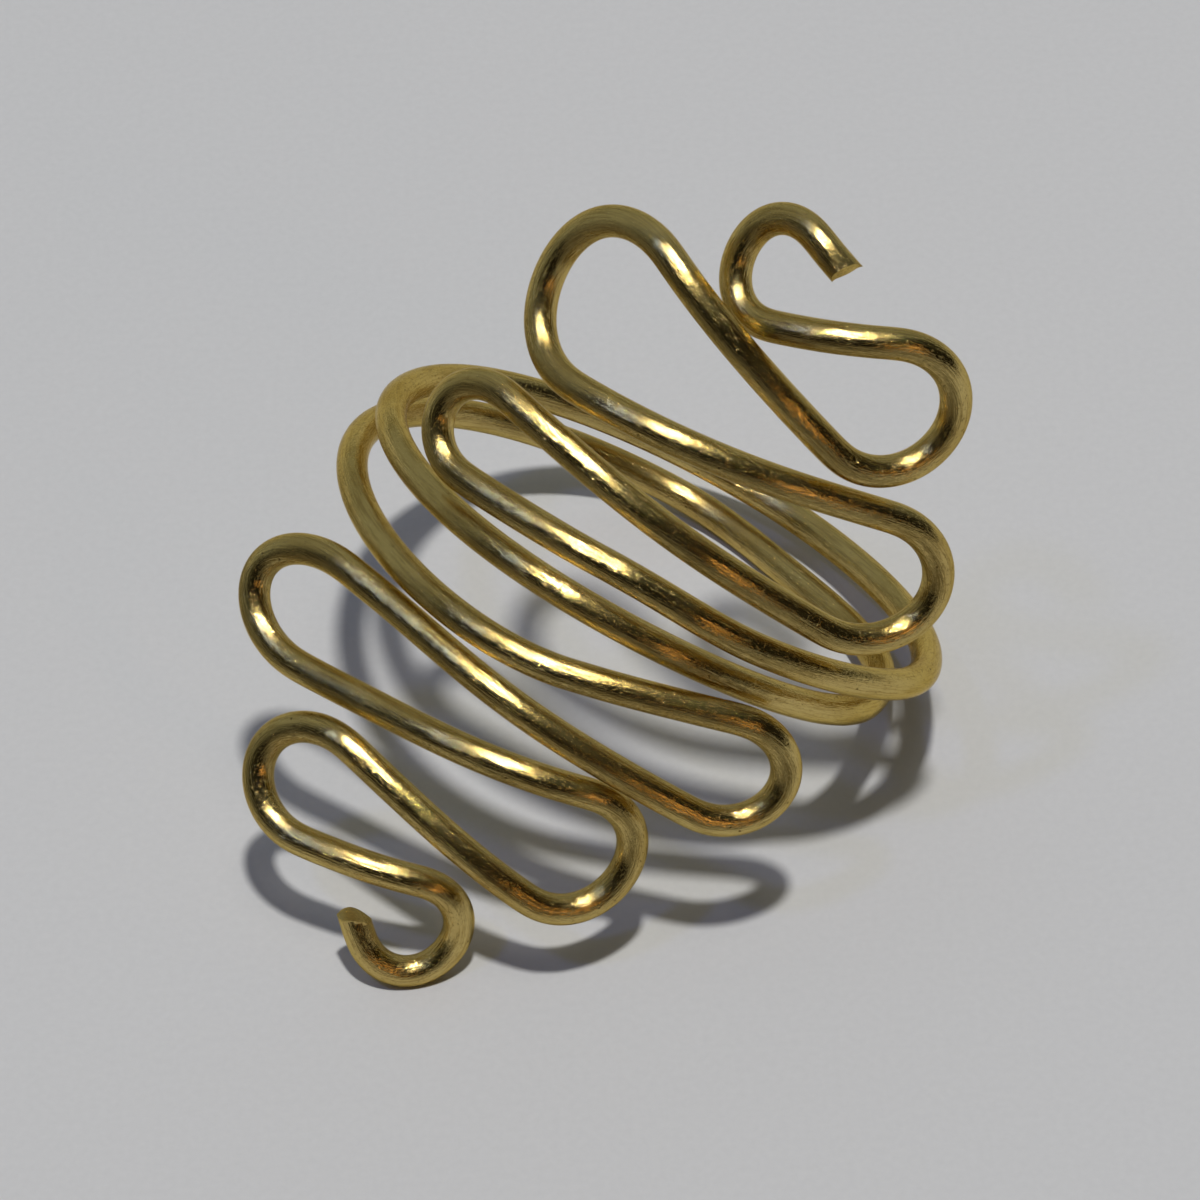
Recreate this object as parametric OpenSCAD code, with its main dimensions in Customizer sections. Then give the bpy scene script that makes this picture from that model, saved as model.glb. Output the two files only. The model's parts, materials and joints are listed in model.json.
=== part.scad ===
// Finger ring bent from one length of round brass wire.
// The wire starts in a small hook, zigzags up the back of the finger in four loops, winds twice
// round the finger, zigzags on in four more loops and ends in a second hook.
// The path is drawn flat, as arcs joined by tangent runs, and then wrapped round the finger.
// Across is to the right on the flat, along is up the finger, and angles are in degrees from the
// front of the ring, positive to the left. Sizes are in millimetres.

/* [Wire and ring] */
// Diameter of the wire
wire_d = 1; // [0.8:0.05:1.2]
// Inside diameter of the winding, which is the ring size
finger_d = 17.5; // [15.5:0.25:21]
// Clear gap between neighbouring turns of the winding
turn_gap = 0.46; // [0.42:0.01:0.8]

/* [Lower zigzag, outer loops] */
// Angle of the left bend's centre
lower_outer_left_angle = 32.5; // [25:0.5:45]
// Bend radius of the left loop
lower_outer_left_r = 1.8; // [1.4:0.05:2.2]
// Height of the left loop's end above the finger's curve
lower_outer_left_lift = 1.35; // [-1:0.05:2]
// Angle of the right bend's centre
lower_outer_right_angle = -16.5; // [-30:0.5:-10]
// Bend radius of the right loop
lower_outer_right_r = 2.05; // [1.4:0.05:2.4]
// Height of the right loop's end above the finger's curve
lower_outer_right_lift = -0.3; // [-1:0.05:2]
// Gap along the finger between the outer and the inner left loop, negative where their levels overlap
lower_left_gap = 0; // [0:0.05:1]
// Gap along the finger between the outer and the inner right loop, negative where their levels overlap
lower_right_gap = -0.2; // [-0.2:0.05:1]

/* [Lower zigzag, inner loops] */
// Angle of the left bend's centre
lower_inner_left_angle = 48; // [40:0.5:60]
// Bend radius of the left loop
lower_inner_left_r = 1.8; // [1.4:0.05:2.2]
// Height of the left loop's end above the finger's curve
lower_inner_left_lift = 2.55; // [-1:0.05:3]
// Angle of the right bend's centre
lower_inner_right_angle = -34; // [-48:0.5:-30]
// Bend radius of the right loop
lower_inner_right_r = 1.75; // [1.4:0.05:2.2]
// Height of the right loop's end above the finger's curve
lower_inner_right_lift = 1.25; // [0.4:0.05:2]

/* [Upper zigzag, inner loops] */
// Angle of the left bend's centre
upper_inner_left_angle = 36.5; // [30:0.5:50]
// Bend radius of the left loop
upper_inner_left_r = 1.5; // [1.3:0.05:2]
// Height of the left loop's end above the finger's curve
upper_inner_left_lift = 1.1; // [-1:0.05:2]
// Angle of the right bend's centre
upper_inner_right_angle = -41.5; // [-52:0.5:-34]
// Bend radius of the right loop
upper_inner_right_r = 2.1; // [1.5:0.05:2.5]
// Height of the right loop's end above the finger's curve
upper_inner_right_lift = 1.35; // [-1:0.05:2]
// Gap along the finger between the winding and the right loop
upper_winding_gap = 0; // [0:0.05:1]

/* [Upper zigzag, outer loops] */
// Angle of the left bend's centre
upper_outer_left_angle = 28; // [20:0.5:38]
// Bend radius of the left loop
upper_outer_left_r = 2.65; // [1.8:0.05:3]
// Height of the left loop's end above the finger's curve
upper_outer_left_lift = -0.05; // [-1:0.05:2]
// Angle of the right bend's centre
upper_outer_right_angle = -29; // [-40:0.5:-22]
// Bend radius of the right loop
upper_outer_right_r = 2.1; // [1.5:0.05:2.5]
// Height of the right loop's end above the finger's curve
upper_outer_right_lift = 0.45; // [-1:0.05:2]
// Gap along the finger between the inner and the outer left loop
upper_left_gap = 0.3; // [0:0.05:1]
// Gap along the finger between the inner and the outer right loop
upper_right_gap = 0.05; // [0:0.05:1]

/* [End hooks] */
// Angle of the lower hook's centre
lower_hook_angle = 4.5; // [-4:0.5:12]
// Distance along the finger from the lower hook's centre to the outer left loop's
lower_hook_drop = 2.6; // [2:0.1:4]
// Bend radius of the lower hook
lower_hook_r = 1.65; // [1.2:0.05:2]
// How far round the lower hook is bent, degrees
lower_hook_turn = 240; // [180:5:270]
// Straight run at the lower cut end
lower_hook_run = 1.3; // [0.5:0.1:3]
// Height of the lower hook above the finger's curve, negative where it curls inwards
lower_hook_lift = -1.5; // [-2:0.05:1]
// Angle of the upper hook's centre
upper_hook_angle = 2; // [-6:0.5:8]
// Distance along the finger from the outer right loop's centre to the upper hook's
upper_hook_rise = 2.1; // [1.5:0.1:4]
// Bend radius of the upper hook
upper_hook_r = 1.65; // [1.2:0.05:2]
// How far round the upper hook is bent, degrees
upper_hook_turn = 220; // [180:5:270]
// Straight run at the upper cut end
upper_hook_run = 1.6; // [0.5:0.1:3]
// Height of the upper hook above the finger's curve, negative where it curls inwards
upper_hook_lift = -1.6; // [-2:0.05:1]

/* [How it lies on the table] */
// Lean away from the viewer
rest_lean = -35.5; // [-60:0.5:0]
// Lean to the right
rest_tilt = 19; // [0:0.5:40]
// Turn about the upright
rest_turn = -24; // [-60:0.5:60]

/* [Hidden] */

TUBE_SIDES = 10;
RING_STEP = 0.65;
ARC_STEPS = 16;
RUN_STEPS = 8;
CURVE_STEPS = 16;
FULL_TURN = 360;

wrap_r = (finger_d + wire_d) / 2;
turn_pitch = wire_d + turn_gap;
// How far along the wire a lifted loop still rises, as a share of the wrap radius
lift_reach = 0.39 * wrap_r;

// Guides of the two turns: angle, place along the finger in turn pitches, and height above the
// finger's curve in wire diameters
WINDING_GUIDES = [
    [0, -1.3, 0.05],
    [35, -1.45, 0.3],
    [105, -0.75, 0.3],
    [180, -0.45, -0.1],
    [212, -0.47, -0.65],
    [244, -0.49, -0.1],
    [275, -0.5, -0.5],
    [345, 0.05, -0.35],
    [410, 0.2, 0],
    [470, 0.4, -0.25],
    [540, 0.55, -0.55],
    [625, 0.75, 0.4],
    [655, 0.85, 0.7],
    [690, 0.95, 0.3],
    [722, 1.2, 0.05]
];
TURNS = 2;
FIRST_GUIDE = WINDING_GUIDES[0];
LAST_GUIDE = WINDING_GUIDES[len(WINDING_GUIDES) - 1];
// Levels, in turn pitches, of the strands that the zigzags are stacked against
LOWER_LEFT_LEVEL = -1.39;
LOWER_RIGHT_LEVEL = -0.55;
UPPER_LEFT_LEVEL = 1.1;
UPPER_RIGHT_LEVEL = 1.15;

function across(angle) = -angle * wrap_r * PI / 180;

// Places of the bend centres along the finger, stacked outwards from the winding
lower_inner_left = LOWER_LEFT_LEVEL * turn_pitch - wire_d - lower_inner_left_r;
lower_inner_right = LOWER_RIGHT_LEVEL * turn_pitch - lower_inner_right_r;
lower_outer_left = lower_inner_left - lower_inner_left_r - wire_d - lower_left_gap - lower_outer_left_r;
lower_outer_right = lower_inner_right - lower_inner_right_r - wire_d - lower_right_gap - lower_outer_right_r;
upper_inner_left = UPPER_LEFT_LEVEL * turn_pitch + upper_inner_left_r;
upper_inner_right = UPPER_RIGHT_LEVEL * turn_pitch + wire_d + upper_winding_gap + upper_inner_right_r;
upper_outer_left = upper_inner_left + upper_inner_left_r + wire_d + upper_left_gap + upper_outer_left_r;
upper_outer_right = upper_inner_right + upper_inner_right_r + wire_d + upper_right_gap + upper_outer_right_r;

// A bend: across, along, bend radius, lift. Radii are positive where the wire turns to its left.
function bend(angle, along, r, lift) = [across(angle), along, r, lift];
function upper_bend(angle, along, r, lift) = bend(angle + TURNS * FULL_TURN, along, r, lift);
function guide_point(guide) = [across(guide[0]), guide[1] * turn_pitch, guide[2] * wire_d];
function guide_end(guide) = [across(guide[0]), guide[1] * turn_pitch, 0, 0];

lower_bends = [
    bend(lower_hook_angle, lower_outer_left - lower_hook_drop, lower_hook_r, lower_hook_lift),
    bend(lower_outer_left_angle, lower_outer_left, -lower_outer_left_r, lower_outer_left_lift),
    bend(lower_outer_right_angle, lower_outer_right, lower_outer_right_r, lower_outer_right_lift),
    bend(lower_inner_left_angle, lower_inner_left, -lower_inner_left_r, lower_inner_left_lift),
    bend(lower_inner_right_angle, lower_inner_right, lower_inner_right_r, lower_inner_right_lift)
];
upper_bends = [
    upper_bend(upper_inner_left_angle, upper_inner_left, -upper_inner_left_r, upper_inner_left_lift),
    upper_bend(upper_inner_right_angle, upper_inner_right, upper_inner_right_r, upper_inner_right_lift),
    upper_bend(upper_outer_left_angle, upper_outer_left, -upper_outer_left_r, upper_outer_left_lift),
    upper_bend(upper_outer_right_angle, upper_outer_right, upper_outer_right_r, upper_outer_right_lift),
    upper_bend(upper_hook_angle, upper_outer_right + upper_hook_rise, -upper_hook_r, upper_hook_lift)
];

// Heading of the straight run that leaves bend a and meets bend b, tangent to both
function run_heading(a, b) =
    let (gap = [b[0] - a[0], b[1] - a[1]])
    atan2(gap[1], gap[0]) - asin((b[2] - a[2]) / norm(gap));
// Angle turned from one heading to another on the given side
function turned(from, to, side) =
    let (d = side * (to - from))
    side * (d - FULL_TURN * floor(d / FULL_TURN));
function on_bend(b, heading) = [b[0] + b[2] * sin(heading), b[1] - b[2] * cos(heading)];
function arc(b, from, angle) = [for (k = [0 : ARC_STEPS]) on_bend(b, from + angle * k / ARC_STEPS)];
function straight(from, to) = [for (k = [1 : RUN_STEPS - 1]) from + (to - from) * k / RUN_STEPS];
function ahead(point, heading, run) = [point[0] + run * cos(heading), point[1] + run * sin(heading)];

// Lower half on the flat, from the cut end to the first guide of the winding
lower_stops = concat(lower_bends, [guide_end(FIRST_GUIDE)]);
lower_headings = [for (i = [0 : len(lower_bends) - 1]) run_heading(lower_stops[i], lower_stops[i + 1])];
lower_start = lower_headings[0] - lower_hook_turn;
lower_tip = ahead(on_bend(lower_bends[0], lower_start), lower_start, -lower_hook_run);
function lower_arc(i) =
    i == 0
        ? arc(lower_bends[0], lower_start, lower_hook_turn)
        : arc(lower_bends[i], lower_headings[i - 1],
              turned(lower_headings[i - 1], lower_headings[i], sign(lower_bends[i][2])));
function lower_run(i) =
    straight(on_bend(lower_stops[i], lower_headings[i]), on_bend(lower_stops[i + 1], lower_headings[i]));
lower_flat = concat(
    [lower_tip],
    [for (i = [0 : len(lower_bends) - 1]) each concat(lower_arc(i), lower_run(i))]);

// Upper half on the flat, from the last guide of the winding to the other cut end
upper_stops = concat([guide_end(LAST_GUIDE)], upper_bends);
upper_headings = [for (i = [0 : len(upper_bends) - 1]) run_heading(upper_stops[i], upper_stops[i + 1])];
upper_last = len(upper_bends) - 1;
upper_end = upper_headings[upper_last] - upper_hook_turn;
upper_tip = ahead(on_bend(upper_bends[upper_last], upper_end), upper_end, upper_hook_run);
function upper_arc(i) =
    i == upper_last
        ? arc(upper_bends[i], upper_headings[i], -upper_hook_turn)
        : arc(upper_bends[i], upper_headings[i],
              turned(upper_headings[i], upper_headings[i + 1], sign(upper_bends[i][2])));
function upper_run(i) =
    straight(on_bend(upper_stops[i], upper_headings[i]), on_bend(upper_bends[i], upper_headings[i]));
upper_flat = concat(
    [for (i = [0 : upper_last]) each concat(upper_run(i), upper_arc(i))],
    [upper_tip]);

// Winding on the flat: a smooth curve through the guides, in line with the runs at its two ends
guides = [for (g = WINDING_GUIDES) guide_point(g)];
last = len(guides) - 1;
function guide_slope(i) =
    i == 0 ? [tan(lower_headings[len(lower_headings) - 1]), 0]
    : i == last ? [tan(upper_headings[0]), 0]
    : [for (k = [1, 2]) (guides[i + 1][k] - guides[i - 1][k]) / (guides[i + 1][0] - guides[i - 1][0])];
function between(i, u) =
    let (h = guides[i + 1][0] - guides[i][0], m = guide_slope(i), n = guide_slope(i + 1))
    [guides[i][0] + h * u,
     for (k = [1, 2])
         (2 * u ^ 3 - 3 * u ^ 2 + 1) * guides[i][k] + (u ^ 3 - 2 * u ^ 2 + u) * h * m[k - 1]
         + (3 * u ^ 2 - 2 * u ^ 3) * guides[i + 1][k] + (u ^ 3 - u ^ 2) * h * n[k - 1]];
winding_flat = concat(
    [for (i = [0 : last - 1], k = [0 : CURVE_STEPS - 1]) between(i, k / CURVE_STEPS)],
    [guides[last]]);

// Length along a flat path at each of its points
function flat_step(path, i) = norm([path[i][0] - path[i - 1][0], path[i][1] - path[i - 1][1]]);
function lengths(path) =
    [for (i = 0, total = 0; i < len(path);
          i = i + 1, total = total + (i < len(path) ? flat_step(path, i) : 0)) total];
// Adds to each point of a zigzag the height of the lifted loops near it
function lifted(path, bends, first_arc) =
    let (run = lengths(path))
    [for (i = [0 : len(path) - 1])
        [path[i][0], path[i][1],
         sum([for (j = [0 : len(bends) - 1])
             let (middle = run[first_arc + j * (ARC_STEPS + RUN_STEPS) + ARC_STEPS / 2])
             bends[j][3] * exp(-((run[i] - middle) / lift_reach) ^ 2)])]];
function sum(list) = list * [for (v = list) 1];

lower_path = lifted(lower_flat, lower_bends, 1);
upper_path = lifted(upper_flat, upper_bends, RUN_STEPS - 1);
flat_path = concat(lower_path, winding_flat, upper_path);
run_of = lengths(flat_path);
wire_length = run_of[len(run_of) - 1];
across_of = [for (i = [0 : len(flat_path) - 1]) [run_of[i], flat_path[i][0]]];
along_of = [for (i = [0 : len(flat_path) - 1]) [run_of[i], flat_path[i][1]]];
lift_of = [for (i = [0 : len(flat_path) - 1]) [run_of[i], flat_path[i][2]]];

// The flat path wrapped round the finger, whose axis is Z here, with the front towards -Y
function out_at(run) =
    let (a = lookup(run, across_of) / wrap_r * 180 / PI)
    [sin(a), -cos(a), 0];
function wire_at(run) = out_at(run) * (wrap_r + lookup(run, lift_of)) + [0, 0, lookup(run, along_of)];
function unit(v) = v / norm(v);
TANGENT_STEP = 0.05;
function wire_heading(run) = unit(wire_at(run + TANGENT_STEP) - wire_at(run - TANGENT_STEP));
function turn_x(p, a) = [p[0], p[1] * cos(a) - p[2] * sin(a), p[1] * sin(a) + p[2] * cos(a)];
function turn_y(p, a) = [p[0] * cos(a) + p[2] * sin(a), p[1], p[2] * cos(a) - p[0] * sin(a)];
function turn_z(p, a) = [p[0] * cos(a) - p[1] * sin(a), p[0] * sin(a) + p[1] * cos(a), p[2]];
function at_rest(p) = turn_z(turn_y(turn_x(p, rest_lean), rest_tilt), rest_turn);

// A ring of tube points whose flats enclose the round wire's own area
tube_r = wire_d / 2 * sqrt(2 * PI / (TUBE_SIDES * sin(FULL_TURN / TUBE_SIDES)));
function tube_ring(run) =
    let (middle = wire_at(run), t = wire_heading(run), o = out_at(run),
         n = unit(o - t * (o * t)), b = cross(t, n))
    [for (k = [0 : TUBE_SIDES - 1])
        let (a = FULL_TURN * k / TUBE_SIDES)
        at_rest(middle + tube_r * (cos(a) * n + sin(a) * b))];
function stops(from, to) =
    let (count = ceil((to - from) / RING_STEP))
    [for (i = [0 : count]) from + (to - from) * i / count];
function tube_points(from, to) = [for (run = stops(from, to)) each tube_ring(run)];

// Where the wire is divided: in the runs next to the hooks and at the two ends of the winding
lower_hook_end = run_of[ARC_STEPS + 1 + RUN_STEPS / 2];
winding_start = run_of[len(lower_path)];
winding_end = run_of[len(lower_path) + len(winding_flat) - 1];
last_arc = len(flat_path) - ARC_STEPS - 2;
upper_hook_start = run_of[last_arc - RUN_STEPS / 2];

// The wire is worn flat where it touches the table, so that the ring stands still there.
// The origin is on the table, under the middle of the ring's own outline.
all_points = tube_points(0, wire_length);
low = [for (k = [0 : 2]) min([for (p = all_points) p[k]])];
high = [for (k = [0 : 2]) max([for (p = all_points) p[k]])];
foot_flat = wire_d / 10;
table = low[2] + foot_flat;
stand = [-(low[0] + high[0]) / 2, -(low[1] + high[1]) / 2, -table];
function stood(p) = stand + [p[0], p[1], max(p[2], table)];

// Least clear gap between stretches of wire that lie more than a loop's length apart
APART = 4 * wire_d;
function least_gap(from, to) =
    let (runs = stops(from, to), p = [for (r = runs) wire_at(r)])
    min([for (i = [0 : len(p) - 2], j = [i + 1 : len(p) - 1])
        if (runs[j] - runs[i] > APART) norm(p[j] - p[i])]) - wire_d;
echo(wire_length = wire_length, size = [high[0] - low[0], high[1] - low[1], high[2] - table]);
echo(winding_least_gap = least_gap(winding_start, winding_end));
echo(wire_least_gap = least_gap(0, wire_length));

module tube(from, to) {
    points = [for (p = tube_points(from, to)) stood(p)];
    rings = len(points) / TUBE_SIDES;
    sides = [for (i = [0 : rings - 2], k = [0 : TUBE_SIDES - 1])
        let (a = i * TUBE_SIDES + k, b = i * TUBE_SIDES + (k + 1) % TUBE_SIDES,
             c = a + TUBE_SIDES, d = b + TUBE_SIDES)
        each [[a, b, d], [a, d, c]]];
    end = (rings - 1) * TUBE_SIDES;
    caps = [for (k = [1 : TUBE_SIDES - 2]) each [[0, k + 1, k], [end, end + k, end + k + 1]]];
    polyhedron(points = points, faces = concat(sides, caps), convexity = 10);
}

module lower_hook() {
    color("darkgoldenrod") tube(0, lower_hook_end);
}
module lower_zigzag() {
    color("goldenrod") tube(lower_hook_end, winding_start);
}
module winding() {
    color("gold") tube(winding_start, winding_end);
}
module upper_zigzag() {
    color("goldenrod") tube(winding_end, upper_hook_start);
}
module upper_hook() {
    color("darkgoldenrod") tube(upper_hook_start, wire_length);
}

lower_hook();
lower_zigzag();
winding();
upper_zigzag();
upper_hook();
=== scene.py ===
import cmath
import json
import math
from collections import namedtuple

import bpy
import numpy as np
from mathutils import Matrix, Vector


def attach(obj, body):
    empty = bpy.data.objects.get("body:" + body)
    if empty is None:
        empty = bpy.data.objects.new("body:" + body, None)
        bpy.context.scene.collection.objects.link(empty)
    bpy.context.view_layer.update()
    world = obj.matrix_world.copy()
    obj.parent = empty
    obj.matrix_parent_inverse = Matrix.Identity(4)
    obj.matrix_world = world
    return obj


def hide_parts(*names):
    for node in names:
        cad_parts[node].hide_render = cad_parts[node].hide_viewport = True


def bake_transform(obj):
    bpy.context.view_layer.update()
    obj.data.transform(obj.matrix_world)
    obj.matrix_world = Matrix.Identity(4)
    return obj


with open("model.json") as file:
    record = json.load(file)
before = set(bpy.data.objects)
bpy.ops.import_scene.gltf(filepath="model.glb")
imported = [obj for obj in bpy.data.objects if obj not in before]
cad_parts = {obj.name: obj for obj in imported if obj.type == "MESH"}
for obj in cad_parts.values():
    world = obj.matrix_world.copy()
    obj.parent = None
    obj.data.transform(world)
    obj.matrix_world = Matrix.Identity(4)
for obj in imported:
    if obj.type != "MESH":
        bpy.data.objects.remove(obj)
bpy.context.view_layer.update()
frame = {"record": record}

# The wire's route: the ring is one length of round brass wire, bent cold round pegs and wound round a
# finger mandrel. The route is laid out flat, across to the right and along up the finger as the two
# parts of one complex number. Sizes are in millimetres, and angles in degrees to the left of the front.
MM = 0.001
WIRE_D = 1.0
FINGER_D = 17.5
TURN_GAP = 0.46
WRAP_R = (FINGER_D + WIRE_D) / 2
TURN_PITCH = WIRE_D + TURN_GAP
TURNS = 2
LIFT_REACH_SHARE = 0.39
LIFT_REACH = LIFT_REACH_SHARE * WRAP_R
ARC_STEPS = 60
RUN_STEPS = 60
CURVE_STEPS = 60


def flat(angle, along):
    """The flat place of an angle round the finger and a place along it."""
    return complex(-math.radians(angle) * WRAP_R, along)


# The two turns, as listed guides: angle, place along the finger in turn pitches, and height above
# the finger's curve in wire diameters
WINDING_GUIDES = (
    (0, -1.3, 0.05),
    (35, -1.45, 0.3),
    (105, -0.75, 0.3),
    (180, -0.45, -0.1),
    (212, -0.47, -0.65),
    (244, -0.49, -0.1),
    (275, -0.5, -0.5),
    (345, 0.05, -0.35),
    (410, 0.2, 0),
    (470, 0.4, -0.25),
    (540, 0.55, -0.55),
    (625, 0.75, 0.4),
    (655, 0.85, 0.7),
    (690, 0.95, 0.3),
    (722, 1.2, 0.05),
)
guide_places = [flat(angle, along * TURN_PITCH) for angle, along, lift in WINDING_GUIDES]
guide_lifts = [lift * WIRE_D for angle, along, lift in WINDING_GUIDES]

# Bends from the winding outwards, each loop stacked beside the last one on its side: angle of the
# bend's centre, bend radius, and height of the loop's end above the finger's curve. Levels are those of
# the strands that the loops are stacked against, in turn pitches.
Loop = namedtuple("Loop", "angle radius lift")
Bend = namedtuple("Bend", "centre radius lift")
LOWER_INNER_RIGHT = Loop(angle=-34, radius=1.75, lift=1.25)
LOWER_INNER_LEFT = Loop(angle=48, radius=1.8, lift=2.55)
LOWER_OUTER_RIGHT = Loop(angle=-16.5, radius=2.05, lift=-0.3)
LOWER_OUTER_LEFT = Loop(angle=32.5, radius=1.8, lift=1.35)
LOWER_HOOK = Loop(angle=4.5, radius=1.65, lift=-1.5)
LOWER_RIGHT_LEVEL = -0.55
LOWER_LEFT_LEVEL = -1.39
LOWER_RIGHT_GAP = -0.2
LOWER_LEFT_GAP = 0.0
LOWER_HOOK_DROP = 2.6
LOWER_HOOK_TURN = 240
LOWER_CUT_RUN = 1.3
lower_right = LOWER_RIGHT_LEVEL * TURN_PITCH - LOWER_INNER_RIGHT.radius
lower_left = LOWER_LEFT_LEVEL * TURN_PITCH - WIRE_D - LOWER_INNER_LEFT.radius
lower_far_right = lower_right - LOWER_INNER_RIGHT.radius - WIRE_D - LOWER_RIGHT_GAP - LOWER_OUTER_RIGHT.radius
lower_far_left = lower_left - LOWER_INNER_LEFT.radius - WIRE_D - LOWER_LEFT_GAP - LOWER_OUTER_LEFT.radius

UPPER_INNER_LEFT = Loop(angle=36.5, radius=1.5, lift=1.1)
UPPER_INNER_RIGHT = Loop(angle=-41.5, radius=2.1, lift=1.35)
UPPER_OUTER_LEFT = Loop(angle=28, radius=2.65, lift=-0.05)
UPPER_OUTER_RIGHT = Loop(angle=-29, radius=2.1, lift=0.45)
UPPER_HOOK = Loop(angle=2, radius=1.65, lift=-1.6)
UPPER_LEFT_LEVEL = 1.1
UPPER_RIGHT_LEVEL = 1.15
UPPER_LEFT_GAP = 0.3
UPPER_RIGHT_GAP = 0.05
UPPER_HOOK_RISE = 2.1
UPPER_HOOK_TURN = 220
UPPER_CUT_RUN = 1.6
upper_left = UPPER_LEFT_LEVEL * TURN_PITCH + UPPER_INNER_LEFT.radius
upper_right = UPPER_RIGHT_LEVEL * TURN_PITCH + WIRE_D + UPPER_INNER_RIGHT.radius
upper_far_left = upper_left + UPPER_INNER_LEFT.radius + WIRE_D + UPPER_LEFT_GAP + UPPER_OUTER_LEFT.radius
upper_far_right = upper_right + UPPER_INNER_RIGHT.radius + WIRE_D + UPPER_RIGHT_GAP + UPPER_OUTER_RIGHT.radius


def bends_outwards(loops, alongs, turns_before):
    """Centre, signed radius and lift of each bend, turning right and left in turn."""
    return [
        Bend(flat(loop.angle + 360 * turns_before, along), loop.radius * (-1) ** (k + 1), loop.lift)
        for k, (loop, along) in enumerate(zip(loops, alongs))
    ]


lower_bends = bends_outwards(
    (LOWER_INNER_RIGHT, LOWER_INNER_LEFT, LOWER_OUTER_RIGHT, LOWER_OUTER_LEFT, LOWER_HOOK),
    (lower_right, lower_left, lower_far_right, lower_far_left, lower_far_left - LOWER_HOOK_DROP),
    turns_before=0,
)
upper_bends = bends_outwards(
    (UPPER_INNER_LEFT, UPPER_INNER_RIGHT, UPPER_OUTER_LEFT, UPPER_OUTER_RIGHT, UPPER_HOOK),
    (upper_left, upper_right, upper_far_left, upper_far_right, upper_far_right + UPPER_HOOK_RISE),
    turns_before=TURNS,
)


def run_heading(bend, next_bend):
    """Heading of the straight run that leaves one bend and meets the next, tangent to both."""
    gap = next_bend.centre - bend.centre
    return cmath.phase(gap) - math.asin((next_bend.radius - bend.radius) / abs(gap))


def on_bend(bend, heading):
    """Place on a bend where the wire has this heading."""
    return bend.centre - 1j * bend.radius * np.exp(1j * heading)


def lengths(route):
    """Length along a flat route at each of its points."""
    return np.concatenate(([0], np.cumsum(np.abs(np.diff(route)))))


def zigzag(start, bends, hook_turn, cut_run):
    """Flat route, lift and hook's start of one end, from the winding outwards to the cut."""
    stops = [Bend(start, 0, 0)] + bends
    headings = [run_heading(stop, bend) for stop, bend in zip(stops, bends)]
    route = []
    for k, bend in enumerate(bends):
        side = np.sign(bend.radius)
        if bend is bends[-1]:
            turn = side * math.radians(hook_turn)
        else:
            turn = side * ((side * (headings[k + 1] - headings[k])) % (2 * math.pi))
        run_from = on_bend(stops[k], headings[k])
        run_to = on_bend(bend, headings[k])
        route += list(np.linspace(run_from, run_to, RUN_STEPS, endpoint=False))
        route += list(on_bend(bend, headings[k] + np.linspace(0, turn, ARC_STEPS, endpoint=False)))
    last_heading = headings[-1] + turn
    last_bend = on_bend(bends[-1], last_heading)
    route += list(np.linspace(last_bend, last_bend + cut_run * np.exp(1j * last_heading), RUN_STEPS))
    route = np.array(route)
    run = lengths(route)
    stride = RUN_STEPS + ARC_STEPS
    lift = np.zeros(len(route))
    for k, bend in enumerate(bends):
        middle = run[k * stride + RUN_STEPS + ARC_STEPS // 2]
        lift += bend.lift * np.exp(-(((run - middle) / LIFT_REACH) ** 2))
    hook_start = run[(len(bends) - 1) * stride + RUN_STEPS // 2]
    return route, lift, hook_start


def guided(values, places, first_slope, last_slope):
    """A smooth curve through values at the guides' places, with the given slopes at its two ends."""
    slopes = [first_slope]
    for k in range(1, len(values) - 1):
        slopes.append((values[k + 1] - values[k - 1]) / (places[k + 1] - places[k - 1]))
    slopes.append(last_slope)
    u = np.linspace(0, 1, CURVE_STEPS, endpoint=False)
    curve = []
    for k in range(len(values) - 1):
        step = places[k + 1] - places[k]
        curve += list(
            (2 * u**3 - 3 * u**2 + 1) * values[k]
            + (u**3 - 2 * u**2 + u) * step * slopes[k]
            + (3 * u**2 - 2 * u**3) * values[k + 1]
            + (u**3 - u**2) * step * slopes[k + 1]
        )
    return np.array(curve)


lower_route, lower_lift, lower_hook_from = zigzag(
    guide_places[0], lower_bends, LOWER_HOOK_TURN, LOWER_CUT_RUN
)
upper_route, upper_lift, upper_hook_from = zigzag(
    guide_places[-1], upper_bends, UPPER_HOOK_TURN, UPPER_CUT_RUN
)
guide_across = [place.real for place in guide_places]
first_slope = math.tan(run_heading(Bend(guide_places[0], 0, 0), lower_bends[0]))
last_slope = math.tan(run_heading(Bend(guide_places[-1], 0, 0), upper_bends[0]))
winding_route = guided(guide_across, guide_across, 1, 1) + 1j * guided(
    [place.imag for place in guide_places], guide_across, first_slope, last_slope
)
winding_lift = guided(guide_lifts, guide_across, 0, 0)

# The wire springs a little straighter at each end of a bend, which rounds the changes of curvature. The
# rounding falls off over EASE and is cut off at EASE_TAIL times that.
EASE = 0.25
EASE_STEP = 0.05
EASE_TAIL = 3
whole_route = np.concatenate((lower_route[::-1], winding_route, upper_route))
whole_lift = np.concatenate((lower_lift[::-1], winding_lift, upper_lift))
whole_run = lengths(whole_route)
WIRE_LENGTH = whole_run[-1]
even_run = np.linspace(0, WIRE_LENGTH, round(WIRE_LENGTH / EASE_STEP))
ease_reach = round(EASE_TAIL * EASE / EASE_STEP)
ease_weights = np.exp(-0.5 * (np.arange(-ease_reach, ease_reach + 1) * EASE_STEP / EASE) ** 2)
ease_weights /= ease_weights.sum()


def eased(values):
    """Values of the route at even steps along the wire, smoothed over the spring of the wire."""
    even = np.interp(even_run, whole_run, values)
    padded = np.pad(even, ease_reach, mode="reflect", reflect_type="odd")
    return np.convolve(padded, ease_weights, mode="valid")


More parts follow.
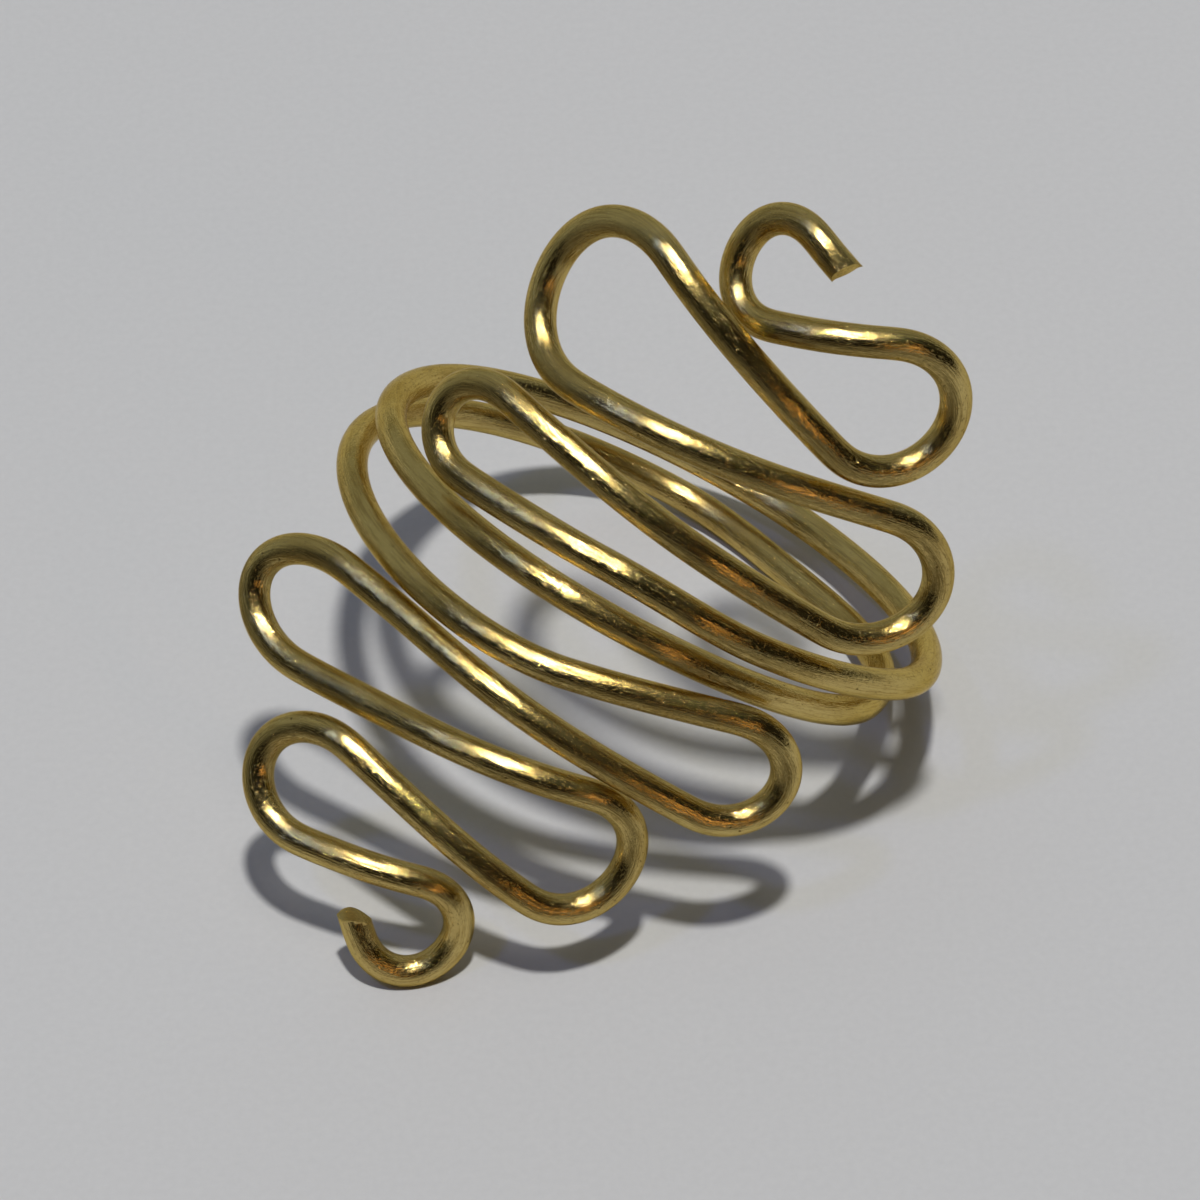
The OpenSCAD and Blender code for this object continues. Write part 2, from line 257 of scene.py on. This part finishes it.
LOWER_END = lengths(lower_route)[-1]
UPPER_START = LOWER_END + lengths(winding_route)[-1]
LOWER_HOOK_END = LOWER_END - lower_hook_from
UPPER_HOOK_START = whole_run[len(lower_route) + len(winding_route)] + upper_hook_from

# The route wrapped round the finger, and the ring leaned over as it lies on the table
REST_LEAN = -35.5
REST_TILT = 19
REST_TURN = -24
REST = (
    Matrix.Rotation(math.radians(REST_TURN), 3, "Z")
    @ Matrix.Rotation(math.radians(REST_TILT), 3, "Y")
    @ Matrix.Rotation(math.radians(REST_LEAN), 3, "X")
)
FINGER_MIDDLE = Vector(frame["record"]["mounts"][0]["pos_m"])
wrap_angle = eased(whole_route.real) / WRAP_R
wrap_out = np.stack((np.sin(wrap_angle), -np.cos(wrap_angle), 0 * wrap_angle), axis=1)
wrapped = wrap_out * (WRAP_R + eased(whole_lift))[:, None]
wrapped[:, 2] = eased(whole_route.imag)
wire_out = wrap_out @ np.array(REST.transposed())
wire_middle = wrapped @ np.array(REST.transposed()) * MM + np.array(FINGER_MIDDLE)

# The wire's body: a round section drawn along each stretch of the route, with small flats where it
# rests on the table. A few rings of falling girth close a cut end. The body carries its own unbent
# place, so that marks follow the wire.
TABLE_HEIGHT = 0.0
WIRE_SIDES = 40
RING_STEP = 0.13
CAP_GIRTHS = (0.99, 0.96, 0.9, 0.7, 0.45, 0.2, 0.03)
CAP_STEP = 0.006
QUAD_SIDES = 4


class Socket:
    """An output socket of a node tree that can stand in a Python expression."""

    def __init__(self, tree, socket):
        self.tree = tree
        self.socket = socket

    def node(self, kind, settings, inputs, output=0):
        """Adds a node, with its settings first, and feeds its sockets values or other sockets."""
        node = self.tree.nodes.new(kind)
        for name, value in settings.items():
            setattr(node, name, value)
        for name, value in inputs.items():
            if isinstance(value, Socket):
                self.tree.links.new(value.socket, node.inputs[name])
            else:
                node.inputs[name].default_value = value
        return Socket(self.tree, node.outputs[output])

    def maths(self, operation, first, second):
        return self.node("ShaderNodeMath", {"operation": operation}, {0: first, 1: second})

    def __add__(self, other):
        return self.maths("ADD", self, other)

    def __radd__(self, other):
        return self.maths("ADD", other, self)

    def __sub__(self, other):
        return self.maths("SUBTRACT", self, other)

    def __rsub__(self, other):
        return self.maths("SUBTRACT", other, self)

    def __mul__(self, other):
        return self.maths("MULTIPLY", self, other)

    def __rmul__(self, other):
        return self.maths("MULTIPLY", other, self)


def wire_tree():
    """Geometry nodes that draw the round section along a route of points."""
    tree = bpy.data.node_groups.new("drawn_wire", "GeometryNodeTree")
    tree.is_modifier = True
    sizes = (
        ("Route", "NodeSocketGeometry"),
        ("Wire radius", "NodeSocketFloat"),
        ("Sides", "NodeSocketInt"),
        ("Table height", "NodeSocketFloat"),
        ("Finish", "NodeSocketMaterial"),
    )
    for name, kind in sizes:
        tree.interface.new_socket(name, in_out="INPUT", socket_type=kind)
    tree.interface.new_socket("Wire", in_out="OUTPUT", socket_type="NodeSocketGeometry")
    given = tree.nodes.new("NodeGroupInput")
    route, radius, sides, table, finish = (Socket(tree, given.outputs[name]) for name, kind in sizes)
    vector = {"data_type": "FLOAT_VECTOR"}
    outward = route.node("GeometryNodeInputNamedAttribute", vector, {"Name": "outward"})
    girth = route.node("GeometryNodeInputNamedAttribute", {"data_type": "FLOAT"}, {"Name": "girth"})
    run = route.node("GeometryNodeInputNamedAttribute", {"data_type": "FLOAT"}, {"Name": "run"})
    around = route.node("GeometryNodeInputNamedAttribute", vector, {"Name": "around"})
    place = route.node("GeometryNodeInputPosition", {}, {})
    line = route.node("GeometryNodeMeshToCurve", {}, {"Mesh": route})
    line = route.node("GeometryNodeSetCurveNormal", {"mode": "FREE"}, {"Curve": line, "Normal": outward})
    section = route.node("GeometryNodeCurvePrimitiveCircle", {}, {"Resolution": sides, "Radius": radius})
    section = route.node(
        "GeometryNodeStoreNamedAttribute", vector, {"Geometry": section, "Name": "around", "Value": place}
    )
    wire = route.node(
        "GeometryNodeCurveToMesh",
        {},
        {"Curve": line, "Profile Curve": section, "Scale": girth, "Fill Caps": True},
    )
    side = route.node("ShaderNodeSeparateXYZ", {}, {"Vector": around}, "X")
    up = route.node("ShaderNodeSeparateXYZ", {}, {"Vector": around}, "Y")
    unbent = route.node(
        "ShaderNodeCombineXYZ", {}, {"X": side * girth * (1 / MM), "Y": up * girth * (1 / MM), "Z": run}
    )
    wire = route.node(
        "GeometryNodeStoreNamedAttribute", vector, {"Geometry": wire, "Name": "unbent", "Value": unbent}
    )
    # What would reach below the table is flattened onto it
    height = route.node("ShaderNodeSeparateXYZ", {}, {"Vector": place}, "Z")
    sink = height.maths("MAXIMUM", table - height, 0)
    raised = route.node("ShaderNodeCombineXYZ", {}, {"Z": sink})
    wire = route.node("GeometryNodeSetPosition", {}, {"Geometry": wire, "Offset": raised})
    wire = route.node("GeometryNodeSetShadeSmooth", {}, {"Geometry": wire, "Shade Smooth": True})
    wire = route.node("GeometryNodeRealizeInstances", {}, {"Geometry": wire})
    wire = route.node("GeometryNodeSetMaterial", {}, {"Geometry": wire, "Material": finish})
    out = tree.nodes.new("NodeGroupOutput")
    tree.links.new(wire.socket, out.inputs["Wire"])
    return tree


drawn_wire = wire_tree()

# The wire's finish: bright drawn brass. The die leaves fine lines along it, which spread each glint
# across the strand, and handling adds scratches, small pits, dark specks and an uneven brown tarnish.
# Depths are in millimetres.
BRASS_BRIGHT = (0.64, 0.49, 0.18, 1)
BRASS_TARNISHED = (0.43, 0.29, 0.08, 1)
BRASS_STREAK = (0.31, 0.20, 0.05, 1)
BRASS_SPECK = (0.15, 0.09, 0.025, 1)
BRASS_EDGE = (0.86, 0.74, 0.44, 1)
TARNISH_SHARE = 0.5
STREAK_SHARE = 0.55
SPECK_SHARE = 0.25
SPECK_SHARE_TARNISHED = 0.6
PIT_SHARE = 0.8
BARE_ROUGH = 0.1
GRAIN_ROUGH = 0.07
TARNISH_ROUGH = 0.06
SPECK_ROUGH = 0.1
DIE_LINE_DEPTH = 0.009
SCRATCH_DEPTH = 0.026
GRAIN_DEPTH = 0.007
WAVE_DEPTH = 0.02
SPECK_DEPTH = 0.003
PIT_DEPTH = 0.015
PITS_PER_MM = 1.7

# Sockets of a Mix node that hold colours, which share their names with others and go by number
MIX_FIRST_COLOUR = 6
MIX_SECOND_COLOUR = 7
MIX_COLOUR = 2


def tinted(share, one, other):
    """A colour that goes from one to the other as a share goes from 0 to 1."""
    inputs = {"Factor": share, MIX_FIRST_COLOUR: one, MIX_SECOND_COLOUR: other}
    return share.node("ShaderNodeMix", {"data_type": "RGBA"}, inputs, MIX_COLOUR)


def above(value, low, high):
    """A share that rises smoothly from 0 to 1 as a value goes from low to high."""
    inputs = {"Value": value, "From Min": low, "From Max": high}
    return value.node("ShaderNodeMapRange", {"interpolation_type": "SMOOTHSTEP"}, inputs)


def brass_finish():
    """Material of the wire, in its own unbent place, where one unit is a millimetre."""
    brass = bpy.data.materials.new("drawn_brass")
    brass.use_nodes = True
    tree = brass.node_tree
    shader = tree.nodes["Principled BSDF"]
    shader.inputs["Metallic"].default_value = 1
    shader.inputs["Specular Tint"].default_value = BRASS_EDGE
    place = Socket(tree, tree.nodes.new("ShaderNodeAttribute").outputs["Vector"])
    place.socket.node.attribute_name = "unbent"

    def noise(per_mm, detail, roughness):
        """Uneven marks, with so many to a millimetre across the wire, across again and along it."""
        stretched = place.node("ShaderNodeMapping", {}, {"Vector": place, "Scale": per_mm})
        inputs = {"Vector": stretched, "Scale": 1, "Detail": detail, "Roughness": roughness}
        return place.node("ShaderNodeTexNoise", {}, inputs)

    die_lines = noise(per_mm=(26, 26, 0.5), detail=3, roughness=0.6)
    scratches = noise(per_mm=(9, 9, 0.9), detail=3, roughness=0.7)
    grain = noise(per_mm=(14, 14, 11), detail=3, roughness=0.65)
    waves = noise(per_mm=(1.6, 1.6, 0.7), detail=2, roughness=0.5)
    tarnish = above(noise(per_mm=(0.9, 0.9, 0.35), detail=3, roughness=0.6), low=0.42, high=0.68)
    streaks = above(noise(per_mm=(13, 13, 0.7), detail=4, roughness=0.7), low=0.46, high=0.64)
    specks = above(noise(per_mm=(13, 13, 8), detail=4, roughness=0.8), low=0.56, high=0.66)
    cells = place.node(
        "ShaderNodeTexVoronoi",
        {"feature": "F1"},
        {"Vector": place, "Scale": PITS_PER_MM, "Randomness": 1},
    )
    pit = 1 - above(cells, low=0.03, high=0.1)
    colour = tinted(tarnish * TARNISH_SHARE, BRASS_BRIGHT, BRASS_TARNISHED)
    colour = tinted(streaks * STREAK_SHARE, colour, BRASS_STREAK)
    colour = tinted(specks * (SPECK_SHARE + tarnish * SPECK_SHARE_TARNISHED), colour, BRASS_SPECK)
    colour = tinted(pit * PIT_SHARE, colour, BRASS_SPECK)
    tree.links.new(colour.socket, shader.inputs["Base Color"])
    rough = BARE_ROUGH + grain * GRAIN_ROUGH + tarnish * TARNISH_ROUGH + specks * SPECK_ROUGH
    tree.links.new(rough.socket, shader.inputs["Roughness"])
    height = die_lines * DIE_LINE_DEPTH + scratches * SCRATCH_DEPTH + grain * GRAIN_DEPTH + waves * WAVE_DEPTH
    height = height - specks * SPECK_DEPTH - pit * PIT_DEPTH
    bump = place.node("ShaderNodeBump", {}, {"Strength": 1, "Distance": MM, "Height": height})
    tree.links.new(bump.socket, shader.inputs["Normal"])
    return brass


drawn_brass = brass_finish()


def at_run(values, runs):
    """Values of the whole wire at places along it."""
    return np.stack([np.interp(runs, even_run, values[:, k]) for k in range(3)], axis=1)


def heading_at(runs):
    """Direction of the wire at places along it."""
    ahead = at_run(wire_middle, runs + EASE_STEP) - at_run(wire_middle, runs - EASE_STEP)
    return ahead / np.linalg.norm(ahead, axis=1)[:, None]


def lay_wire(name, run_from, run_to):
    """One stretch of the wire as a finished mesh, closed over at the wire's own cut ends."""
    runs = np.linspace(run_from, run_to, math.ceil((run_to - run_from) / RING_STEP) + 1)
    points = at_run(wire_middle, runs)
    headings = heading_at(runs)
    outs = at_run(wire_out, runs)
    cap_steps = np.arange(1, len(CAP_GIRTHS) + 1) * CAP_STEP
    before = cap_steps[::-1] if run_from == 0 else cap_steps[:0]
    after = cap_steps if run_to == WIRE_LENGTH else cap_steps[:0]
    cap_rings = ((len(before), len(after)), (0, 0))
    girths = np.concatenate((CAP_GIRTHS[::-1][: len(before)], np.ones(len(runs)), CAP_GIRTHS[: len(after)]))
    runs = np.concatenate((run_from - before, runs, run_to + after))
    first_cap = points[0] - np.outer(before, headings[0]) * MM
    last_cap = points[-1] + np.outer(after, headings[-1]) * MM
    points = np.concatenate((first_cap, points, last_cap))
    headings = np.pad(headings, cap_rings, mode="edge")
    outs = np.pad(outs, cap_rings, mode="edge")
    outs = outs - headings * np.sum(outs * headings, axis=1)[:, None]
    outs /= np.linalg.norm(outs, axis=1)[:, None]
    line = bpy.data.meshes.new(name + "_route")
    line.from_pydata(points.tolist(), [(k, k + 1) for k in range(len(points) - 1)], [])
    line.attributes.new("outward", "FLOAT_VECTOR", "POINT").data.foreach_set("vector", outs.ravel())
    line.attributes.new("girth", "FLOAT", "POINT").data.foreach_set("value", girths)
    line.attributes.new("run", "FLOAT", "POINT").data.foreach_set("value", runs)
    piece = bpy.data.objects.new(name, line)
    bpy.context.collection.objects.link(piece)
    drawing = piece.modifiers.new("drawing", "NODES")
    drawing.node_group = drawn_wire
    sockets = {item.name: item.identifier for item in drawn_wire.interface.items_tree}
    drawing[sockets["Wire radius"]] = WIRE_D / 2 * MM
    drawing[sockets["Sides"]] = WIRE_SIDES
    drawing[sockets["Table height"]] = TABLE_HEIGHT
    drawing[sockets["Finish"]] = drawn_brass
    solid = bpy.data.meshes.new_from_object(piece.evaluated_get(bpy.context.evaluated_depsgraph_get()))
    piece.modifiers.remove(drawing)
    piece.data = solid
    for unused in ("outward", "girth", "run", "around"):
        solid.attributes.remove(solid.attributes[unused])
    for face in solid.polygons:
        face.use_smooth = face.loop_total == QUAD_SIDES
    return piece


# Winding: two turns of the wire round the finger, which hold the ring on. The middle turn is one body,
# and the half turns at its two ends are of the same wire and bend as the ring is spread or twisted.
winding_run = lengths(winding_route) + LOWER_END
turned = -winding_route.real / WRAP_R
FIRST_HALF_END = np.interp(math.pi, turned, winding_run)
LAST_HALF_START = np.interp((2 * TURNS - 1) * math.pi, turned, winding_run)

middle_turn = lay_wire("winding_middle_turn", FIRST_HALF_END, LAST_HALF_START)
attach(middle_turn, "winding")
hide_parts("winding")

first_half_turn = lay_wire("winding_first_half_turn", LOWER_END, FIRST_HALF_END)
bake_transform(first_half_turn)

last_half_turn = lay_wire("winding_last_half_turn", LAST_HALF_START, UPPER_START)
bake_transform(last_half_turn)

# Lower zigzag: four loops below the winding, to the left and the right in turn, of the same brass wire.
# Each is bent cold round a peg, and the wire runs on unbroken into the winding.
lower_zigzag = lay_wire("lower_zigzag_loops", LOWER_HOOK_END, LOWER_END)
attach(lower_zigzag, "lower_end")
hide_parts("lower_zigzag")


# Lower hook: the wire's first end, curled in a small hook and nipped off with cutters. Their two jaws
# leave two slanted faces that meet in a ridge, here aslant and rounded over by wear. A burr stands only
# past BURR_FROM of the wire's radius.
BURR_FROM = 0.8


def nip(piece, run, towards_end, ridge_angle, ridge, lean, rounding, burr):
    """Cuts the wire's end back to the two faces that the cutters' jaws leave, meeting in a ridge.

    The last four sizes, in millimetres at the wire's rim, are how far the ridge, its lean and its wear
    take the cut back, and how far the burr stands out again.
    """
    tip = at_run(wire_middle, np.array([run]))[0]
    end_heading = heading_at(np.array([run]))[0] * towards_end
    out = at_run(wire_out, np.array([run]))[0]
    out -= end_heading * np.dot(out, end_heading)
    out /= np.linalg.norm(out)
    sideways = np.cross(end_heading, out)
    fall_way = math.cos(math.radians(ridge_angle)) * out + math.sin(math.radians(ridge_angle)) * sideways
    edge_way = np.cross(end_heading, fall_way)
    radius = WIRE_D / 2 * MM
    for vertex, unbent in zip(piece.data.vertices, piece.data.attributes["unbent"].data):
        if abs(unbent.vector.z - run) < WIRE_D:
            offset = np.array(vertex.co) - tip
            fall = np.dot(offset, fall_way) / radius
            edge = np.dot(offset, edge_way) / radius
            cut = ridge * abs(fall) + lean * (1 + edge) / 2 + rounding * edge**2
            cut -= burr * max(abs(edge) - BURR_FROM, 0) / (1 - BURR_FROM)
            past = np.dot(offset, end_heading) + max(cut, 0) * MM
            vertex.co -= Vector(end_heading) * max(past, 0)


lower_hook = lay_wire("lower_hook_curl", 0, LOWER_HOOK_END)
nip(lower_hook, run=0, towards_end=-1, ridge_angle=30, ridge=0.34, lean=0.42, rounding=0.3, burr=0)
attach(lower_hook, "lower_end")
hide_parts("lower_hook")

# Upper zigzag: four loops above the winding, to the left and the right in turn, of the same brass wire
# and bent as the lower ones are.
upper_zigzag = lay_wire("upper_zigzag_loops", UPPER_START, UPPER_HOOK_START)
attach(upper_zigzag, "upper_end")
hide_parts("upper_zigzag")

# Upper hook: the wire's other end, curled the same way and nipped off aslant, with a small sharp burr
# left at each side of the cut.
CUT_SHARP_ANGLE = 40
upper_hook = lay_wire("upper_hook_curl", UPPER_HOOK_START, WIRE_LENGTH)
nip(
    upper_hook,
    run=WIRE_LENGTH,
    towards_end=1,
    ridge_angle=-15,
    ridge=0.22,
    lean=0.28,
    rounding=0.04,
    burr=0.06,
)
upper_hook.data.set_sharp_from_angle(angle=math.radians(CUT_SHARP_ANGLE))
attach(upper_hook, "upper_end")
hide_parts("upper_hook")

# Table: a large sheet of plain pale paper with a faint fibre grain, laid flat under the ring. It is part
# of the studio, not of the ring.
TABLE_HALF = 600 * MM
PAPER_SHADED = (0.66, 0.66, 0.66, 1)
PAPER_PALE = (0.72, 0.72, 0.72, 1)
PAPER_ROUGH = 0.9
PAPER_GLOSS = 0.1
FIBRES_PER_METRE = 4000
TABLE_SIDES = ((-1, -1), (1, -1), (1, 1), (-1, 1))
table_corners = [(x * TABLE_HALF, y * TABLE_HALF, TABLE_HEIGHT) for x, y in TABLE_SIDES]
table_mesh = bpy.data.meshes.new("paper_table")
table_mesh.from_pydata(table_corners, [], [(0, 1, 2, 3)])
table = bpy.data.objects.new("paper_table", table_mesh)
bpy.context.collection.objects.link(table)
paper = bpy.data.materials.new("pale_paper")
paper.use_nodes = True
paper_shader = paper.node_tree.nodes["Principled BSDF"]
paper_shader.inputs["Roughness"].default_value = PAPER_ROUGH
paper_shader.inputs["Specular IOR Level"].default_value = PAPER_GLOSS
paper_place = Socket(paper.node_tree, paper.node_tree.nodes.new("ShaderNodeTexCoord").outputs["Object"])
fibres = paper_place.node(
    "ShaderNodeTexNoise", {}, {"Vector": paper_place, "Scale": FIBRES_PER_METRE, "Detail": 3}
)
paper_colour = tinted(fibres, PAPER_SHADED, PAPER_PALE)
paper.node_tree.links.new(paper_colour.socket, paper_shader.inputs["Base Color"])
table_mesh.materials.append(paper)


# Light: a small lamp almost overhead with its soft shade, a weak cool lamp on the left and a weak warm
# one low in front. Distances and widths are in metres.
LAMP_DISTANCE = 2


def lamp(name, direction, width, watts, colour):
    """A round lamp that shines on the ring from a direction."""
    light = bpy.data.lights.new(name, "AREA")
    light.shape = "DISK"
    light.size = width
    light.energy = watts
    light.color = colour
    holder = bpy.data.objects.new(name, light)
    aim = Vector(direction).normalized()
    holder.location = aim * LAMP_DISTANCE
    holder.rotation_euler = aim.to_track_quat("Z", "Y").to_euler()
    bpy.context.collection.objects.link(holder)


lamp("overhead_lamp", direction=(0.05, -0.135, 1), width=0.14, watts=21.5, colour=(1, 0.99, 0.96))
lamp("overhead_shade", direction=(0.12, -0.05, 1), width=0.45, watts=1.6, colour=(1, 0.97, 0.92))
lamp("cool_lamp", direction=(-0.4, -0.22, 1), width=0.16, watts=2.4, colour=(0.27, 0.39, 1))
lamp("warm_lamp", direction=(0.45, -0.85, 0.4), width=0.3, watts=1.2, colour=(1, 0.6, 0.3))

# Dark card: a matt dark sheet that lies just past the paper seen by the camera, in front of the ring and
# left of it. It shows only in what the wire mirrors, as a flag does in a studio: a painted dark reflection
# that stands in for shade, darkening the wire where it would mirror the pale paper in front and on the left.
# The card's grey is painted shade, mirrored only in the wire's sides that face the front and the left
CARD_MIRRORED_SHADE = (0.18, 0.17, 0.15, 1)
CARD_FRONT = -20 * MM
CARD_LEFT = -19 * MM
CARD_RIGHT_END = 30 * MM
CARD_BACK_END = 25 * MM
CARD_FAR = -400 * MM
CARD_LIFT = 0.2 * MM
card_corners = [
    (CARD_FAR, CARD_FAR),
    (CARD_RIGHT_END, CARD_FAR),
    (CARD_RIGHT_END, CARD_FRONT),
    (CARD_LEFT, CARD_FRONT),
    (CARD_LEFT, CARD_BACK_END),
    (CARD_FAR, CARD_BACK_END),
]
card_mesh = bpy.data.meshes.new("mirrored_shade_card")
card_mesh.from_pydata([(x, y, CARD_LIFT) for x, y in card_corners], [], [tuple(range(len(card_corners)))])
card = bpy.data.objects.new("mirrored_shade_card", card_mesh)
bpy.context.collection.objects.link(card)
mirrored_shade_grey = bpy.data.materials.new("mirrored_shade_grey")
mirrored_shade_grey.use_nodes = True
card_shader = mirrored_shade_grey.node_tree.nodes["Principled BSDF"]
card_shader.inputs["Base Color"].default_value = CARD_MIRRORED_SHADE
card_shader.inputs["Roughness"].default_value = 1
card_mesh.materials.append(mirrored_shade_grey)
# Hidden from the camera, from lit surfaces and from shadows: it paints only a dark reflection in the wire
card.visible_camera = False
card.visible_diffuse = False
card.visible_shadow = False

# Room: dim, almost black in front of the ring and on its right, and lighter behind it and on its left.
# How light it is goes by how far a direction points back, less a share of how far it points right.
ROOM_DARK = (0.015, 0.014, 0.011, 1)
ROOM_LIGHT = (0.26, 0.28, 0.28, 1)
ROOM_RIGHT_SHARE = 0.4
ROOM_DARK_END = -0.2
ROOM_LIGHT_START = 0.6
world = bpy.data.worlds.new("dim_room")
world.use_nodes = True
bpy.context.scene.world = world
room_way = Socket(world.node_tree, world.node_tree.nodes.new("ShaderNodeTexCoord").outputs["Generated"])
to_right = room_way.node("ShaderNodeSeparateXYZ", {}, {"Vector": room_way}, "X")
to_back = room_way.node("ShaderNodeSeparateXYZ", {}, {"Vector": room_way}, "Y")
room_share = above(to_back - to_right * ROOM_RIGHT_SHARE, low=ROOM_DARK_END, high=ROOM_LIGHT_START)
room_colour = tinted(room_share, ROOM_DARK, ROOM_LIGHT)
world.node_tree.links.new(room_colour.socket, world.node_tree.nodes["Background"].inputs["Color"])

# Camera: a long lens from the front, high up and rolled a little, at the angle from which the ring was
# photographed.
SENSOR_WIDTH = 36
CLIP_START = 10 * MM
CAMERA_PLACE = Vector((-0.05, -127.41, 153.45)) * MM
CAMERA_ELEVATION = 49.15
CAMERA_ROLL = -1.63
FOCAL_PIXELS = 6136
IMAGE_PIXELS = 1200
camera = bpy.data.objects.new("camera", bpy.data.cameras.new("camera"))
camera.data.sensor_width = SENSOR_WIDTH
camera.data.lens = SENSOR_WIDTH * FOCAL_PIXELS / IMAGE_PIXELS
camera.data.clip_start = CLIP_START
camera.matrix_world = (
    Matrix.Translation(CAMERA_PLACE)
    @ Matrix.Rotation(math.radians(90 - CAMERA_ELEVATION), 4, "X")
    @ Matrix.Rotation(math.radians(CAMERA_ROLL), 4, "Z")
)
bpy.context.collection.objects.link(camera)
bpy.context.scene.camera = camera
bpy.context.scene.view_settings.view_transform = "Standard"
